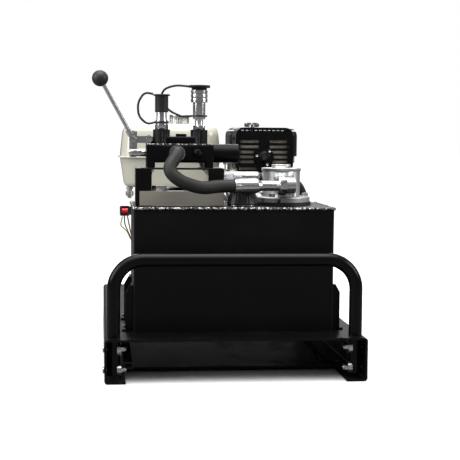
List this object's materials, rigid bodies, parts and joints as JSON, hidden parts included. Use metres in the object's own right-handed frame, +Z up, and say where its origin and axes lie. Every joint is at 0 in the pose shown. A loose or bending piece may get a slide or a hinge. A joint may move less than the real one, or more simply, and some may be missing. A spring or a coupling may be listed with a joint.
{
  "type": "hydraulic power unit",
  "caption": "Skid-mounted petrol engine driving a gear pump, with an oil reservoir, return filter, hand lever spool valve and quick couplers between two carry handles.",
  "frame": {"origin": "centre of the four anchor holes, on the floor under the skid", "axes": "+Z up, +Y from the reservoir end to the engine end, +X to the right seen from the reservoir end"},
  "size_m": [0.6165, 0.98, 0.693],
  "materials": {
    "bar_steel": "bare rolled plate",
    "black_plastic": "moulded",
    "cast_aluminium": "as-cast aluminium",
    "cast_black": "black painted casting",
    "cast_iron": "cast iron",
    "cream": "gloss cream enamel",
    "gasket_rubber": "black seal",
    "gloss_black": "glossy moulded",
    "hose_rubber": "matt rubber",
    "lead_insulation": "insulated wire",
    "paper": "pleated filter paper",
    "red_plastic": "red moulded",
    "satin_black": "satin black enamel",
    "steel": "bright machined steel",
    "strap_rubber": "soft black plastic",
    "texture_black": "textured black powder coat",
    "zinc": "bright zinc plate"
  },
  "bodies": {
    "frame": {"skid_tray": "satin_black", "belly_pan": "satin_black", "carry_handle": "satin_black", "skid_bolts": "zinc", "reservoir_shell": "texture_black", "deck_brackets": "satin_black", "reservoir_screws": "zinc", "port_plugs": "cast_black", "filler_neck": "steel", "filter_head": "cast_aluminium", "filter_bowl": "steel", "filter_gasket": "gasket_rubber", "valve_stand": "satin_black", "stand_bar": "bar_steel", "valve_body": "cast_black", "spring_cap": "cast_black", "centring_spring": "steel", "lever_links": "zinc", "couplers": "zinc", "male_strap": "strap_rubber", "female_strap": "strap_rubber", "return_hose": "hose_rubber", "return_fittings": "zinc", "pressure_hose": "hose_rubber", "suction_hose": "hose_rubber", "pump_line_fittings": "zinc", "pump_body": "cast_aluminium", "bell_housing": "cast_aluminium", "engine_block": "cast_aluminium", "side_cover": "cast_aluminium", "cylinder_head": "cast_aluminium", "fan_cover": "satin_black", "fuel_tank": "cream", "muffler": "steel", "muffler_shield": "satin_black", "air_cleaner_cover": "gloss_black", "carburettor": "cast_aluminium", "engine_bolts": "zinc", "switch_housing": "black_plastic", "switch_leads": "lead_insulation"},
    "filler_cap_body": {"filler_cap": "black_plastic"},
    "filter_lid_body": {"filter_lid": "cast_aluminium"},
    "filter_element_body": {"filter_element": "paper"},
    "spool_body": {"valve_spool": "zinc"},
    "lever_body": {"lever_arm": "zinc", "lever_knob": "gloss_black"},
    "male_cap_body": {"male_dust_cap": "strap_rubber"},
    "sleeve_body": {"female_sleeve": "zinc"},
    "female_plug_body": {"female_dust_plug": "strap_rubber"},
    "crank_body": {"crankshaft": "steel", "flywheel_fan": "cast_iron", "shaft_coupling": "cast_iron", "pump_drive_gear": "steel"},
    "driven_gear_body": {"pump_driven_gear": "steel"},
    "recoil_grip_body": {"recoil_grip": "black_plastic"},
    "fuel_cap_body": {"fuel_cap": "zinc"},
    "wing_nut_body": {"wing_nut": "zinc"},
    "switch_body": {"switch_rocker": "red_plastic"},
    "oil_cap_body": {"oil_fill_cap": "black_plastic"},
    "throttle_body": {"throttle_lever": "zinc"}
  },
  "joints": [
    {"name": "lever_hinge", "type": "hinge", "parent": "frame", "child": "lever_body", "pos_m": [-0.2245, -0.265, 0.534], "axis": [0, 1, 0], "range_deg": [-12, 12], "stiffness_Nm_per_rad": 6},
    {"name": "spool_slide", "type": "slide", "parent": "frame", "child": "spool_body", "axis": [1, 0, 0], "range_m": [-0.0071, 0.0071], "deforming": ["centring_spring"]},
    {"name": "filler_cap_turn", "type": "hinge", "parent": "frame", "child": "filler_cap_body", "pos_m": [0.032, -0.284, 0.388], "axis": [0, 0, 1], "range_deg": [0, 90]},
    {"name": "filter_lid_lift", "type": "slide", "parent": "frame", "child": "filter_lid_body", "axis": [0, 0, 1], "range_m": [0, 0.06]},
    {"name": "filter_element_lift", "type": "slide", "parent": "filter_lid_body", "child": "filter_element_body", "axis": [0, 0, -1], "range_m": [0, 0.004]},
    {"name": "male_cap_pull", "type": "slide", "parent": "frame", "child": "male_cap_body", "axis": [0, 0, 1], "range_m": [0, 0.03], "deforming": ["male_strap"]},
    {"name": "female_plug_pull", "type": "slide", "parent": "frame", "child": "female_plug_body", "axis": [0, 0, 1], "range_m": [0, 0.03], "deforming": ["female_strap"]},
    {"name": "sleeve_slide", "type": "slide", "parent": "frame", "child": "sleeve_body", "axis": [0, 0, -1], "range_m": [0, 0.008], "stiffness_N_per_m": 1500},
    {"name": "crank_spin", "type": "hinge", "parent": "frame", "child": "crank_body", "pos_m": [-0.08, 0.07, 0.275], "axis": [0, 1, 0], "continuous": true},
    {"name": "driven_gear_spin", "type": "hinge", "parent": "frame", "child": "driven_gear_body", "pos_m": [-0.08, -0.074, 0.239], "axis": [0, 1, 0], "continuous": true},
    {"name": "recoil_pull", "type": "slide", "parent": "frame", "child": "recoil_grip_body", "axis": [0, 1, 0], "range_m": [0, 0.2], "stiffness_N_per_m": 20},
    {"name": "fuel_cap_turn", "type": "hinge", "parent": "frame", "child": "fuel_cap_body", "pos_m": [-0.084, 0.2345, 0.576], "axis": [0, 0, 1], "range_deg": [0, 90]},
    {"name": "wing_nut_turn", "type": "hinge", "parent": "frame", "child": "wing_nut_body", "pos_m": [0.12, 0.252, 0.566], "axis": [0, 0, 1], "continuous": true},
    {"name": "switch_rock", "type": "hinge", "parent": "frame", "child": "switch_body", "pos_m": [-0.237, 0.074, 0.344], "axis": [1, 0, 0], "range_deg": [-12, 12]},
    {"name": "oil_cap_unscrew", "type": "slide", "parent": "frame", "child": "oil_cap_body", "axis": [0, -1, 0], "range_m": [0, 0.02]},
    {"name": "throttle_turn", "type": "hinge", "parent": "frame", "child": "throttle_body", "pos_m": [0.043, 0.232, 0.436], "axis": [1, 0, 0], "range_deg": [-30, 30]}
  ],
  "couplings": [
    {"joint": "spool_slide", "follows": "lever_hinge", "m_per_rad": -0.032},
    {"joint": "driven_gear_spin", "follows": "crank_spin", "ratio": -1}
  ]
}
